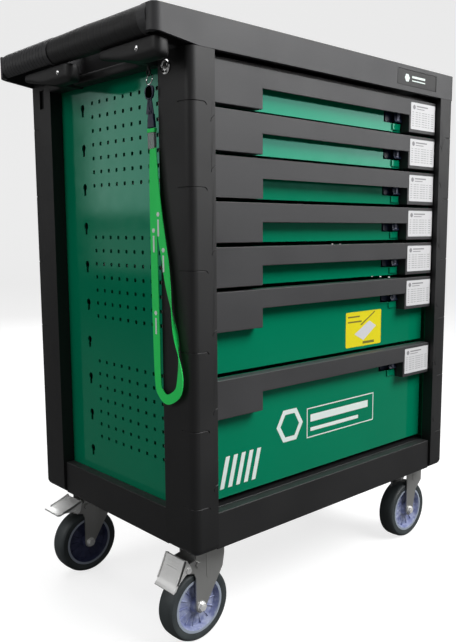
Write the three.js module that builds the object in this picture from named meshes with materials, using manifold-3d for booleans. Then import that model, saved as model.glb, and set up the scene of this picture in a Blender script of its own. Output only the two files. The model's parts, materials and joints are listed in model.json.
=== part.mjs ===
// Workshop tool cart: a steel drawer cabinet with plastic corner bumpers, a moulded worktop
// with a side handle, seven drawers on slides, a central lock, and four casters.
//
// Millimetres, +Z up. The cabinet is laid out from its own front left corner: x runs to the
// right along the front, y runs back from the front face, z is height. The finished cart is
// then centred on the origin and lifted until its wheels stand on z = 0.

import * as THREE from 'three';
import { mergeVertices } from 'three/addons/utils/BufferGeometryUtils.js';
import Module from 'manifold-3d';

const wasm = await Module();
wasm.setup();

// ---------------------------------------------------------------- driving dimensions

const CABINET_WIDTH = 700;
const CABINET_DEPTH = 495;
const BODY_BOTTOM = 173;
const BODY_TOP = 958;
const WORKTOP_TOP = 1006;
const WORKTOP_RIGHT_LIP = 3;
const WING_REACH = 62; // side wing of the worktop that carries the handle
const WHEEL_RADIUS = 63.5;
const AXLE_HEIGHT = 60;

const SHEET = 2; // steel sheet thickness
const GAP = 0.3; // clearance between neighbouring pieces

const BUMPER_FRONT_WIDTH = 48;
const BUMPER_SIDE_WIDTH = 78;
const BUMPER_DEPTH = 23.7; // how far a bumper stands proud of the steel case
const BUMPER_RADIUS = 14;

const DRAWER_UNIT = 71;
const DRAWER_GAP = 6.5;
const DRAWER_STACK_TOP = 948;
const DRAWER_UNITS = [1, 1, 1, 1, 1, 2, 3];

const WING_BLOCK = 18; // square end blocks of the wing, along y
const GRIP_FROM = 39; // hand slot of the side handle, along y
const GRIP_TO = 307;
const GRIP_HALF_WIDTH = 20;
const GRIP_HALF_HEIGHT = 23;
const GRIP_RISE = 7; // top of the grip above the worktop

const SWIVEL_AXIS = { x: 74, y: 68 };
const TRAIL = 27; // axle behind the swivel axis
const FIXED_AXLE = { x: 660, y: 78 };
const PEDAL_RAISED_BY = 45; // degrees between the pressed and the raised brake pedal

// ---------------------------------------------------------------- derived dimensions

const GRIP_X = -WING_REACH - 2 + GRIP_HALF_WIDTH;
const GRIP_Z = WORKTOP_TOP + GRIP_RISE - GRIP_HALF_HEIGHT;
const WORKTOP_RIGHT = CABINET_WIDTH + WORKTOP_RIGHT_LIP;
const CART_LEFT = GRIP_X - GRIP_HALF_WIDTH;
const CART_RIGHT = FIXED_AXLE.x + WHEEL_RADIUS;

const PANEL_X = BUMPER_DEPTH; // outer face of the left side panel
const PANEL_TOP = BODY_TOP - GAP;
const PANEL_BOTTOM = BODY_BOTTOM + 4 + GAP;
const CASE_FRONT = BUMPER_DEPTH + GAP;
const CASE_BACK = CABINET_DEPTH - BUMPER_DEPTH - GAP;

// ---------------------------------------------------------------- finishes

const finish = (color, roughness, metalness) =>
  new THREE.MeshStandardMaterial({ color, roughness, metalness });

const BLACK_PLASTIC = finish(0x262626, 0.6, 0.0);
const GREY_PLASTIC = finish(0x5f5f60, 0.55, 0.0);
const GREEN_PAINT = finish(0x008a62, 0.4, 0.1);
const DARK_STEEL = finish(0x2c2c2e, 0.5, 0.6);
const ZINC = finish(0xa6a6a6, 0.4, 0.9);
const CHROME = finish(0xd8d8d8, 0.15, 1.0);
const TYRE_RUBBER = finish(0x3c4648, 0.8, 0.0);
const HUB_PLASTIC = finish(0x878cb4, 0.5, 0.0);
const STRAP_GREEN = finish(0x0abe5a, 0.7, 0.0);

// ---------------------------------------------------------------- solid helpers

// A closed three.js geometry as a manifold solid.
function solid(geometry) {
  geometry.deleteAttribute('normal');
  geometry.deleteAttribute('uv');
  const merged = mergeVertices(geometry, 1e-4);
  return new wasm.Manifold(new wasm.Mesh({
    numProp: 3,
    vertProperties: new Float32Array(merged.attributes.position.array),
    triVerts: new Uint32Array(merged.index.array),
  }));
}

// A manifold solid back as a three.js geometry.
function geometryOf(shape) {
  const mesh = shape.getMesh();
  const geometry = new THREE.BufferGeometry();
  geometry.setAttribute('position', new THREE.BufferAttribute(mesh.vertProperties, 3));
  geometry.setIndex(new THREE.BufferAttribute(mesh.triVerts, 1));
  return geometry;
}

const join = (first, ...others) => others.reduce((sum, other) => sum.add(other), first);
const cut = (first, ...others) => others.reduce((rest, other) => rest.subtract(other), first);

// Box between two corners: x range, y range, z range.
function block(x0, x1, y0, y1, z0, z1) {
  const geometry = new THREE.BoxGeometry(x1 - x0, y1 - y0, z1 - z0);
  geometry.translate((x0 + x1) / 2, (y0 + y1) / 2, (z0 + z1) / 2);
  return solid(geometry);
}

// Outline in the x-y plane, extruded from z0 to z1.
function extrudeUp(outline, z0, z1, curveSegments = 5) {
  const geometry = new THREE.ExtrudeGeometry(outline, {
    depth: z1 - z0, bevelEnabled: false, curveSegments,
  });
  geometry.translate(0, 0, z0);
  return solid(geometry);
}

// Outline drawn as (x, z), extruded from y0 to y1.
function extrudeBack(outline, y0, y1, curveSegments = 5) {
  return extrudeUp(outline, -y1, -y0, curveSegments).rotate([90, 0, 0]);
}

// Outline drawn as (y, z), extruded from x0 to x1.
function extrudeRight(outline, x0, x1, curveSegments = 5) {
  return extrudeUp(outline, x0, x1, curveSegments).rotate([90, 0, 90]);
}

function polygon(points) {
  return new THREE.Shape(points.map(([a, b]) => new THREE.Vector2(a, b)));
}

function roundedRectangle(x0, x1, y0, y1, radius) {
  const outline = new THREE.Shape();
  outline.moveTo(x0 + radius, y0);
  outline.lineTo(x1 - radius, y0);
  outline.absarc(x1 - radius, y0 + radius, radius, -Math.PI / 2, 0);
  outline.lineTo(x1, y1 - radius);
  outline.absarc(x1 - radius, y1 - radius, radius, 0, Math.PI / 2);
  outline.lineTo(x0 + radius, y1);
  outline.absarc(x0 + radius, y1 - radius, radius, Math.PI / 2, Math.PI);
  outline.lineTo(x0, y0 + radius);
  outline.absarc(x0 + radius, y0 + radius, radius, Math.PI, 1.5 * Math.PI);
  return outline;
}

// Round bar along one axis through (a, b) of the other two, in x, y, z order.
function bar(axis, radius, from, to, a, b, segments = 16) {
  const geometry = new THREE.CylinderGeometry(radius, radius, to - from, segments);
  const middle = (from + to) / 2;
  if (axis === 'x') geometry.rotateZ(Math.PI / 2).translate(middle, a, b);
  if (axis === 'y') geometry.translate(a, middle, b);
  if (axis === 'z') geometry.rotateX(Math.PI / 2).translate(a, b, middle);
  return solid(geometry);
}

// The same solid on the opposite side of the cabinet.
const mirrorX = (shape) => shape.mirror([1, 0, 0]).translate([CABINET_WIDTH, 0, 0]);
const mirrorY = (shape) => shape.mirror([0, 1, 0]).translate([0, CABINET_DEPTH, 0]);

// ---------------------------------------------------------------- the scene graph

const cart = new THREE.Group();
cart.position.set(
  -(CART_LEFT + CART_RIGHT) / 2, -CABINET_DEPTH / 2, WHEEL_RADIUS - AXLE_HEIGHT,
);

function place(name, geometry, material, parent = cart) {
  const mesh = new THREE.Mesh(geometry, material);
  mesh.name = name;
  parent.add(mesh);
  return mesh;
}

const placeSolid = (name, shape, material, parent) =>
  place(name, geometryOf(shape), material, parent);

// ---------------------------------------------------------------- steel case

const LOCK = { y: 57.6, z: 933.7, radius: 9.8, flange: 11.5 };
const FLANGE_TO = 46; // inward reach of the side panels' folded edges
const PAN_TOP = 234.5;

const lockHole = () => bar('x', LOCK.radius + 0.6, -5, PANEL_X + 5, LOCK.y, LOCK.z, 24);

function sidePanel() {
  const profile = polygon([
    [PANEL_X, CASE_FRONT],
    [FLANGE_TO, CASE_FRONT],
    [FLANGE_TO, CASE_FRONT + SHEET],
    [PANEL_X + SHEET, CASE_FRONT + SHEET],
    [PANEL_X + SHEET, CASE_BACK - SHEET - GAP - SHEET],
    [FLANGE_TO, CASE_BACK - SHEET - GAP - SHEET],
    [FLANGE_TO, CASE_BACK - SHEET - GAP],
    [PANEL_X, CASE_BACK - SHEET - GAP],
  ]);
  return extrudeUp(profile, PANEL_BOTTOM, PANEL_TOP);
}

placeSolid('side_panel_left', cut(sidePanel(), lockHole()), GREEN_PAINT);
placeSolid('side_panel_right', mirrorX(sidePanel()), GREEN_PAINT);

placeSolid('back_panel', block(
  PANEL_X + GAP, CABINET_WIDTH - PANEL_X - GAP,
  CASE_BACK - SHEET, CASE_BACK,
  PANEL_BOTTOM, PANEL_TOP,
), GREEN_PAINT);

const INSIDE_LEFT = PANEL_X + SHEET + GAP;
const INSIDE_RIGHT = CABINET_WIDTH - INSIDE_LEFT;

placeSolid('front_top_rail', block(
  INSIDE_LEFT, INSIDE_RIGHT, CASE_FRONT + SHEET + 1, 45, DRAWER_STACK_TOP + 1.5, PANEL_TOP,
), DARK_STEEL);

function basePan() {
  const front = CASE_FRONT + SHEET + 1;
  const back = CASE_BACK - 2 * SHEET - 1;
  const outside = block(INSIDE_LEFT, INSIDE_RIGHT, front, back, PANEL_BOTTOM, PAN_TOP);
  const hollow = block(
    INSIDE_LEFT + SHEET, INSIDE_RIGHT - SHEET, front + SHEET, back - SHEET,
    PANEL_BOTTOM - 1, PAN_TOP - SHEET,
  );
  return cut(outside, hollow);
}

placeSolid('base_pan', basePan(), DARK_STEEL);

// ---------------------------------------------------------------- black base frame

const BASE_TOP = 235;
const BASE_INSET = 5; // face of the base frame behind the bumpers' faces
const BASE_WALL = 3;
const BASE_FLOOR = 4;

// A cross-shaped floor plate with a skirt and a ledge on each of its four ends.
function baseFrame() {
  const left = BASE_INSET;
  const right = CABINET_WIDTH - BASE_INSET;
  const front = BASE_INSET;
  const back = CABINET_DEPTH - BASE_INSET;
  const clearX = BUMPER_FRONT_WIDTH + 1;
  const clearY = BUMPER_SIDE_WIDTH + 1;
  const endX = CABINET_WIDTH - clearX;
  const endY = CABINET_DEPTH - clearY;
  const ledge = BASE_TOP - BASE_WALL;
  const floorTop = BODY_BOTTOM + BASE_FLOOR;
  const sideSkirt = join(
    block(left, left + BASE_WALL, clearY, endY, BODY_BOTTOM, BASE_TOP),
    block(left, PANEL_X - GAP, clearY, endY, ledge, BASE_TOP),
  );
  const frontSkirt = join(
    block(clearX, endX, front, front + BASE_WALL, BODY_BOTTOM, BASE_TOP),
    block(clearX, endX, front, CASE_FRONT + SHEET, ledge, BASE_TOP),
  );
  const rearSkirt = join(
    block(clearX, endX, back - BASE_WALL, back, BODY_BOTTOM, BASE_TOP),
    block(clearX, endX, CASE_BACK + GAP, back, ledge, BASE_TOP),
  );
  return join(
    block(left, right, clearY, endY, BODY_BOTTOM, floorTop),
    block(clearX, endX, front, back, BODY_BOTTOM, floorTop),
    sideSkirt, mirrorX(sideSkirt), frontSkirt, rearSkirt,
  );
}

placeSolid('base_frame', baseFrame(), BLACK_PLASTIC);

// ---------------------------------------------------------------- corner bumpers

// L-shaped in plan, with a rounded outer corner, hollow and open toward the steel case.
function cornerBumper() {
  const skin = 4;
  const hollow = (x1, y1) => block(
    skin + 4, x1, skin + 4, y1, BODY_BOTTOM + skin, BODY_TOP - GAP - skin,
  );
  const inner = BUMPER_DEPTH - GAP;
  const outline = new THREE.Shape();
  outline.moveTo(BUMPER_FRONT_WIDTH, 0);
  outline.lineTo(BUMPER_FRONT_WIDTH, inner);
  outline.lineTo(inner, inner);
  outline.lineTo(inner, BUMPER_SIDE_WIDTH);
  outline.lineTo(0, BUMPER_SIDE_WIDTH);
  outline.lineTo(0, BUMPER_RADIUS);
  outline.absarc(BUMPER_RADIUS, BUMPER_RADIUS, BUMPER_RADIUS, Math.PI, 1.5 * Math.PI);
  return cut(
    extrudeUp(outline, BODY_BOTTOM, BODY_TOP - GAP),
    hollow(BUMPER_FRONT_WIDTH - skin, BUMPER_DEPTH + 1),
    hollow(BUMPER_DEPTH + 1, BUMPER_SIDE_WIDTH - skin),
  );
}

placeSolid('corner_bumper_front_left', cut(cornerBumper(), lockHole()), BLACK_PLASTIC);
placeSolid('corner_bumper_front_right', mirrorX(cornerBumper()), BLACK_PLASTIC);
placeSolid('corner_bumper_rear_left', mirrorY(cornerBumper()), BLACK_PLASTIC);
placeSolid('corner_bumper_rear_right', mirrorX(mirrorY(cornerBumper())), BLACK_PLASTIC);

// ---------------------------------------------------------------- worktop

const UNDERSIDE_BREAK = 20; // x where the underside starts to rise toward the wing
const UNDERSIDE_RISE = 10.5; // how far it has risen at the wing's outer face
const WORKTOP_RADIUS = 15;
const TRAY_RIM = 16;
const TRAY_DEPTH = 22;
const TRAY_FLOOR = 4;
const HAND_SLOT_TO = 10; // x where the hand slot ends
const WING_WALL = 6;

// Height of the worktop's underside at a given x.
function undersideAt(x) {
  const slope = UNDERSIDE_RISE / (UNDERSIDE_BREAK + WING_REACH);
  return BODY_TOP + Math.max(0, UNDERSIDE_BREAK - x) * slope;
}

// Rounded section shared by the grip and the wing on either side of it.
function gripSection() {
  const section = new THREE.Shape();
  section.absellipse(GRIP_X, GRIP_Z, GRIP_HALF_WIDTH, GRIP_HALF_HEIGHT, 0, 2 * Math.PI);
  return section;
}

function worktop() {
  const elevation = polygon([
    [-WING_REACH, undersideAt(-WING_REACH)],
    [UNDERSIDE_BREAK, BODY_TOP],
    [WORKTOP_RIGHT, BODY_TOP],
    [WORKTOP_RIGHT, WORKTOP_TOP],
    [-WING_REACH, WORKTOP_TOP],
  ]);
  const plan = roundedRectangle(-WING_REACH, WORKTOP_RIGHT, 0, CABINET_DEPTH, WORKTOP_RADIUS);
  const slab = extrudeUp(plan, BODY_TOP - 1, WORKTOP_TOP + 1)
    .intersect(extrudeBack(elevation, -1, CABINET_DEPTH + 1));

  const trayLeft = HAND_SLOT_TO + 14;
  const trayFloorTop = WORKTOP_TOP - TRAY_DEPTH;
  const tray = extrudeUp(roundedRectangle(
    trayLeft, WORKTOP_RIGHT - TRAY_RIM, TRAY_RIM, CABINET_DEPTH - TRAY_RIM, 10,
  ), trayFloorTop, WORKTOP_TOP + 1, 3);
  const wall = TRAY_RIM - 6;
  const hollow = block(
    trayLeft - 6, WORKTOP_RIGHT - wall, wall, CABINET_DEPTH - wall,
    BODY_TOP - 1, trayFloorTop - TRAY_FLOOR,
  );
  const handSlot = block(
    -WING_REACH - 1, HAND_SLOT_TO, GRIP_FROM, GRIP_TO, BODY_TOP - 1, WORKTOP_TOP + 1,
  );
  const wingHollow = (y0, y1) => block(
    -WING_REACH + WING_WALL + 4, 4, y0 + WING_WALL, y1 - WING_WALL,
    BODY_TOP - 1, WORKTOP_TOP - WING_WALL,
  );
  const squareEdge = (y0, y1) => block(
    -WING_REACH - 1, GRIP_X, y0, y1, BODY_TOP - 1, WORKTOP_TOP + 1,
  );
  const roundEdge = (y0, y1) => extrudeBack(gripSection(), y0, y1, 12);
  const rearBlock = CABINET_DEPTH - WING_BLOCK;
  const rounded = join(
    cut(slab, squareEdge(WING_BLOCK, GRIP_FROM), squareEdge(GRIP_TO, rearBlock)),
    roundEdge(WING_BLOCK, GRIP_FROM), roundEdge(GRIP_TO, rearBlock),
  );
  return cut(rounded, tray, hollow, handSlot,
    wingHollow(0, GRIP_FROM), wingHollow(GRIP_TO, CABINET_DEPTH));
}

placeSolid('worktop', worktop(), GREY_PLASTIC);

// ---------------------------------------------------------------- side handle

placeSolid('handle_grip',
  extrudeBack(gripSection(), GRIP_FROM + GAP, GRIP_TO - GAP, 12), BLACK_PLASTIC);

const BRACKET = {
  from: 8, // blunt front end
  nose: 946, // height where the blunt end starts
  belly: { from: 20, to: 65 }, // lowest stretch, after which the tail rises
  to: 175,
  tail: 955, // height of the underside at the end of the tail
  armFrom: 80, // the arm passes behind the corner bumper
  armTo: 112,
  outer: -52,
  waist: -24, // inner face of the dome
  bottom: 936,
};
const BRACKET_PITCH = 250; // from the front bracket to the rear one
const RAIL = { outer: -5, bottom: 942, meet: 329.5, to: 415 };
const LANYARD_HOOK = { x: -6, y: 92, z: 929 };

// Domed saddle under one end of the grip, with a long tail, an arm, and a rail that runs
// along the top of the side panel as far as railTo.
function handleBracket(railTo) {
  const { from, nose, belly, to, tail, armFrom, armTo, outer, waist, bottom } = BRACKET;
  const clearance = 0.5;
  const edge = 8; // bevel along the outer edges
  const armEnd = PANEL_X - GAP;
  const top = undersideAt(outer);
  const side = new THREE.Shape();
  side.moveTo(from, nose);
  side.quadraticCurveTo(from, bottom, belly.from, bottom);
  side.lineTo(belly.to, bottom);
  side.lineTo(to, tail);
  side.lineTo(to, top);
  side.lineTo(belly.from, top);
  side.quadraticCurveTo(from, top, from, top - edge);
  const profile = polygon([
    [outer + edge, bottom],
    [armEnd, bottom],
    [armEnd, BODY_TOP - clearance],
    [UNDERSIDE_BREAK, BODY_TOP - clearance],
    [outer, top - clearance],
    [outer, bottom + edge],
  ]);
  const plan = polygon([
    [outer, from + edge], [outer + edge, from],
    [waist - edge, from], [waist, from + edge], [waist, armFrom],
    [armEnd, armFrom], [armEnd, armTo], [waist, armTo + 2 * edge],
    [waist, to], [outer + edge, to], [outer, to - 2 * edge],
  ]);
  const dome = extrudeRight(side, outer - 1, armEnd + 1, 8)
    .intersect(extrudeBack(profile, from - 1, to + 1))
    .intersect(extrudeUp(plan, bottom - 1, WORKTOP_TOP));
  const rail = block(
    RAIL.outer, armEnd, armFrom, railTo, RAIL.bottom, BODY_TOP - clearance,
  );
  return join(dome, rail);
}

// Eyelet under the front bracket that the key lanyard hangs from.
function lanyardEyelet() {
  const { x, y, z } = LANYARD_HOOK;
  return join(
    block(x - 1.5, x + 1.5, y - 4, y + 4, z, RAIL.bottom + 2),
    bar('x', 4, x - 1.5, x + 1.5, y, z, 12),
  );
}

placeSolid('handle_bracket_front',
  join(handleBracket(RAIL.meet - GAP), lanyardEyelet()), BLACK_PLASTIC);
placeSolid('handle_bracket_rear',
  handleBracket(RAIL.to - BRACKET_PITCH).translate([0, BRACKET_PITCH, 0]), BLACK_PLASTIC);

// ---------------------------------------------------------------- drawers

const FASCIA_FRONT = 11.3;
const FRONT_SHEET_Y = 32.2;
const DRAWER_LEFT = 50.3; // outer edge of the drawer fronts
const DRAWER_RIGHT = CABINET_WIDTH - DRAWER_LEFT;
const FASCIA_HEIGHT = DRAWER_UNIT - DRAWER_GAP;
const RECESS = { from: 158, to: 559, rise: 32 }; // finger recess in the lower edge
const TRAY_LEFT = 53;
const TRAY_BACK = 450;
const TRAY_WALL = 1.5;
const TRAY_INNER_FRONT = 52; // inner front wall: the latch works in front of it
const RUNNER = { left: 48.6, from: 40, to: 430, half: 6, aboveBottom: 26 };
const CHANNEL = { web: 44, lip: 50, from: 36, to: 430, half: 11 };
const WINDOW = { from: 504, to: 590, top: 20, step: 48, stepX: 557, bottom: 62 };
const LEVER = { from: 533, to: 555, top: 25, bottom: 46, front: 28, back: 30.5 };
const SLIDER = { half: 30, top: 24, bottom: 46, front: 36.5, back: 40 };
const OVERLAP = 0.5; // how far joined parts of one piece reach into each other

// Top edge, height and slide height of each drawer, from the top one down.
const drawers = DRAWER_UNITS.map((units, index) => {
  const unitsAbove = DRAWER_UNITS.slice(0, index).reduce((sum, n) => sum + n, 0);
  const top = DRAWER_STACK_TOP - unitsAbove * DRAWER_UNIT;
  const height = units * DRAWER_UNIT - DRAWER_GAP;
  return { number: index + 1, top, height, slide: top - height + RUNNER.aboveBottom };
});

// Welded sheet tray: outer front sheet, box, inner front wall and the two slide runners.
function drawerTray({ top, height, slide }) {
  const bottom = top - height;
  const boxTop = top - 8;
  const boxBottom = bottom + 2;
  const trayRight = CABINET_WIDTH - TRAY_LEFT;
  const frontSheet = block(
    DRAWER_LEFT, DRAWER_RIGHT, FRONT_SHEET_Y, FRONT_SHEET_Y + SHEET, bottom, top,
  );
  const box = block(TRAY_LEFT, trayRight, FRONT_SHEET_Y + SHEET - OVERLAP, TRAY_BACK,
    boxBottom, boxTop);
  const latchBay = block(
    TRAY_LEFT + TRAY_WALL, trayRight - TRAY_WALL, FRONT_SHEET_Y + SHEET, TRAY_INNER_FRONT,
    boxBottom + TRAY_WALL, top + 1,
  );
  const interior = block(
    TRAY_LEFT + TRAY_WALL, trayRight - TRAY_WALL,
    TRAY_INNER_FRONT + TRAY_WALL, TRAY_BACK - TRAY_WALL, boxBottom + TRAY_WALL, top + 1,
  );
  const runner = block(RUNNER.left, TRAY_LEFT + OVERLAP, RUNNER.from, RUNNER.to,
    slide - RUNNER.half, slide + RUNNER.half);
  const windowUpper = block(WINDOW.from, WINDOW.to, FRONT_SHEET_Y - 1,
    FRONT_SHEET_Y + SHEET + 0.5, top - WINDOW.step, top - WINDOW.top);
  const windowLower = block(WINDOW.stepX, WINDOW.to, FRONT_SHEET_Y - 1,
    FRONT_SHEET_Y + SHEET + 0.5, top - WINDOW.bottom, top - WINDOW.step + 1);
  const body = join(cut(box, latchBay, interior), frontSheet, runner, mirrorX(runner));
  return cut(body, windowUpper, windowLower);
}

// Black grip strip across the drawer front, hollow behind so that fingers reach in.
function drawerFascia({ top }) {
  const skin = 3.5;
  const back = FRONT_SHEET_Y - GAP;
  const low = top - FASCIA_HEIGHT;
  const lip = top - RECESS.rise;
  const elevation = polygon([
    [DRAWER_LEFT, low], [RECESS.from, low], [RECESS.from, lip], [RECESS.to, lip],
    [RECESS.to, low], [DRAWER_RIGHT, low], [DRAWER_RIGHT, top], [DRAWER_LEFT, top],
  ]);
  const pocket = (x0, x1, z0) => block(
    x0, x1, FASCIA_FRONT + skin, back + 1, z0, top - skin,
  );
  return cut(
    extrudeBack(elevation, FASCIA_FRONT, back),
    pocket(DRAWER_LEFT + skin, RECESS.from - skin, low + skin),
    pocket(RECESS.from, RECESS.to, lip - 1),
    pocket(RECESS.to + skin, DRAWER_RIGHT - skin, low + skin),
  );
}

// Finger latch: a lever in front of the sheet, a neck and a slider plate behind it.
function drawerLatch({ top }) {
  const middle = (LEVER.from + LEVER.to) / 2;
  const lever = block(LEVER.from, LEVER.to, LEVER.front, LEVER.back,
    top - LEVER.bottom, top - LEVER.top);
  const neck = block(middle - 4, middle + 4, LEVER.back - OVERLAP, SLIDER.front + OVERLAP,
    top - 42, top - 29);
  const slider = block(middle - SLIDER.half, middle + SLIDER.half, SLIDER.front, SLIDER.back,
    top - SLIDER.bottom, top - SLIDER.top);
  return join(lever, neck, slider);
}

for (const drawer of drawers) {
  placeSolid(`drawer_${drawer.number}_tray`, drawerTray(drawer), GREEN_PAINT);
  placeSolid(`drawer_${drawer.number}_fascia`, drawerFascia(drawer), GREY_PLASTIC);
  placeSolid(`drawer_${drawer.number}_latch`, drawerLatch(drawer), ZINC);
}

// ---------------------------------------------------------------- slide racks

const UPRIGHTS = { front: 90, rear: 385, width: 25 };

// Two uprights carrying one slide channel for each drawer.
function slideRack() {
  const rackTop = DRAWER_STACK_TOP - 3;
  const upright = (y) => block(INSIDE_LEFT, CHANNEL.web + OVERLAP, y, y + UPRIGHTS.width,
    PAN_TOP + GAP, rackTop);
  const channels = drawers.map(({ slide }) => {
    const outside = block(CHANNEL.web, CHANNEL.lip, CHANNEL.from, CHANNEL.to,
      slide - CHANNEL.half, slide + CHANNEL.half);
    const groove = block(CHANNEL.web + 2, CHANNEL.lip + 1, CHANNEL.from - 1, CHANNEL.to + 1,
      slide - CHANNEL.half + 2, slide + CHANNEL.half - 2);
    return cut(outside, groove);
  });
  return join(upright(UPRIGHTS.front), upright(UPRIGHTS.rear), ...channels);
}

placeSolid('slide_rack_left', slideRack(), ZINC);
placeSolid('slide_rack_right', mirrorX(slideRack()), ZINC);

// ---------------------------------------------------------------- central lock

function lockCylinder() {
  const camFrom = PANEL_X + SHEET + 0.8;
  return join(
    bar('x', LOCK.flange, -2.5, -GAP, LOCK.y, LOCK.z, 24),
    bar('x', LOCK.radius, -1, camFrom + 0.5, LOCK.y, LOCK.z, 24),
    block(camFrom, camFrom + 3, LOCK.y - 4, LOCK.y + 4, LOCK.z - 17, LOCK.z + 5),
  );
}

// Flat bar with one hook for each drawer. It rises when the key is turned.
function lockBar() {
  const left = 30.5;
  const thickness = 4;
  const half = 8;
  const foot = 250;
  const flat = block(left, left + thickness, LOCK.y - half, LOCK.y + half, foot, LOCK.z + 8);
  const hooks = drawers.map(({ slide }) => block(
    left + thickness - OVERLAP, CHANNEL.web - 1.5, LOCK.y - half, LOCK.y + half,
    slide + 2, slide + 5,
  ));
  return join(flat, ...hooks);
}

placeSolid('lock_cylinder', lockCylinder(), CHROME);
placeSolid('lock_bar', lockBar(), ZINC);

// ---------------------------------------------------------------- casters
// Each caster is built around its swivel axis, or around its wheel's middle for the fixed
// ones, with the wheel rolling along x.

const PLATE_TOP = BODY_BOTTOM - GAP;
const PLATE_HALF = 45;
const TYRE_HALF_WIDTH = 18.5;
const HUB_RADIUS = 47;
const LEG_INNER = 20;
const LEG_OUTER = 22.5;
const FORK_EYE = 11; // radius of the leg around the axle
const AXLE_RADIUS = 4;
const FORK_TOP = 162;
const PEDAL_PIVOT = { x: -56, z: 134 };
const PEDAL_HALF_WIDTH = 26;

const atAxle = (x) => new THREE.Vector3(x, 0, AXLE_HEIGHT);

// Closed ring or disc turned about the wheel's axle: points are (radius, width).
function turned(points, segments = 40) {
  const profile = points.map(([radius, along]) => new THREE.Vector2(radius, along));
  profile.push(profile[0].clone());
  return new THREE.LatheGeometry(profile, segments);
}

function tyreGeometry() {
  const w = TYRE_HALF_WIDTH;
  const r = WHEEL_RADIUS;
  return turned([
    [HUB_RADIUS + GAP, -w + 2], [r - 7, -w], [r - 1.5, -w + 6],
    [r, 0], [r - 1.5, w - 6], [r - 7, w], [HUB_RADIUS + GAP, w - 2],
  ]);
}

function hubGeometry() {
  const w = TYRE_HALF_WIDTH - 1.5;
  const bore = AXLE_RADIUS + 0.6;
  return turned([
    [bore, -LEG_INNER + 1], [13, -LEG_INNER + 1], [15, -6], [HUB_RADIUS - 6, -4],
    [HUB_RADIUS - 4, -w], [HUB_RADIUS, -w], [HUB_RADIUS, w], [HUB_RADIUS - 4, w],
    [HUB_RADIUS - 6, 4], [15, 6], [13, LEG_INNER - 1], [bore, LEG_INNER - 1],
  ]);
}

function axle() {
  return join(
    bar('y', AXLE_RADIUS, -LEG_OUTER - 1, LEG_OUTER + 1, 0, 0),
    bar('y', 7.5, -LEG_OUTER - 6, -LEG_OUTER - GAP, 0, 0, 6),
    bar('y', 7.5, LEG_OUTER + GAP, LEG_OUTER + 6, 0, 0, 6),
  );
}

function addWheel(suffix, parent, x) {
  const tyre = place(`tyre_${suffix}`, tyreGeometry(), TYRE_RUBBER, parent);
  const hub = place(`hub_${suffix}`, hubGeometry(), HUB_PLASTIC, parent);
  const pin = placeSolid(`axle_${suffix}`, axle(), ZINC, parent);
  for (const piece of [tyre, hub, pin]) piece.position.copy(atAxle(x));
}

// Both legs of a fork, from one outline drawn as (x, z), with the axle hole through them.
function forkLegs(outline, axleX) {
  const leg = extrudeBack(outline, LEG_INNER, LEG_OUTER);
  const hole = bar('y', AXLE_RADIUS + 0.8, -30, 30, axleX, AXLE_HEIGHT);
  return cut(join(leg, leg.mirror([0, 1, 0])), hole);
}

// The rear edge of each leg reaches out into an ear for the brake pedal.
function swivelFork() {
  const shoulder = 24; // front edge of the fork, ahead of the swivel axis
  const rear = -TRAIL - FORK_EYE;
  const { x: earX, z: earZ } = PEDAL_PIVOT;
  const outline = new THREE.Shape();
  outline.moveTo(rear, AXLE_HEIGHT);
  outline.absarc(-TRAIL, AXLE_HEIGHT, FORK_EYE, Math.PI, 2 * Math.PI);
  outline.lineTo(shoulder - 4, 118);
  outline.lineTo(shoulder, 140);
  outline.lineTo(shoulder, FORK_TOP);
  outline.lineTo(rear, FORK_TOP);
  outline.lineTo(rear, earZ + 12);
  outline.lineTo(earX - 3, earZ + 8);
  outline.lineTo(earX - 8, earZ + 3);
  outline.lineTo(earX - 7, earZ - 5);
  outline.lineTo(rear - 4, earZ - 11);
  outline.lineTo(rear, earZ - 21);
  const crown = block(rear, shoulder, -LEG_OUTER, LEG_OUTER, FORK_TOP - 3, FORK_TOP);
  const race = bar('z', 26, FORK_TOP - 3, FORK_TOP + 4, 0, 0, 32);
  const kingpinHole = bar('z', 7.5, 100, 200, 0, 0);
  const pinHole = bar('y', 3.6, -30, 30, earX, earZ);
  return cut(join(forkLegs(outline, -TRAIL), crown, race), kingpinHole, pinHole);
}

function swivelPlate() {
  const bolts = [-1, 1].flatMap((sx) => [-1, 1].map((sy) => bar(
    'z', 4.2, 150, 200, sx * 36, sy * 30, 12,
  )));
  const plate = cut(block(-PLATE_HALF, PLATE_HALF, -40, 40, PLATE_TOP - 3.5, PLATE_TOP), ...bolts);
  const race = bar('z', 24, FORK_TOP + 4 + GAP, PLATE_TOP - 1, 0, 0, 32);
  const kingpin = bar('z', 6.5, FORK_TOP - 8, PLATE_TOP - 1, 0, 0);
  const kingpinHead = bar('z', 11, FORK_TOP - 9, FORK_TOP - 3 - GAP, 0, 0);
  return join(plate, race, kingpin, kingpinHead);
}

// Pressed-steel tread with side walls on a pivot pin, drawn around the pin in the pressed
// position.
function brakePedal() {
  const half = PEDAL_HALF_WIDTH;
  const tread = extrudeBack(polygon([
    [-4, 18], [-7.5, 18], [-17, -3], [-29.5, -28], [-26.5, -30], [-13.5, -4],
  ]), -half, half);
  const wall = extrudeBack(polygon([
    [5, -5], [5, 5], [-5, 18], [-16, -3], [-24, -18], [-6, -6],
  ]), half - 2, half);
  const shoe = extrudeBack(polygon([[0, -5], [0, 5], [-13, 4], [-15, -4]]), -12.5, 12.5);
  const sleeve = bar('y', 6, -13, 13, 0, 0);
  const pin = bar('y', 3, -half - 2, half + 2, 0, 0);
  return join(tread, wall, wall.mirror([0, 1, 0]), shoe, sleeve, pin);
}

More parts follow.
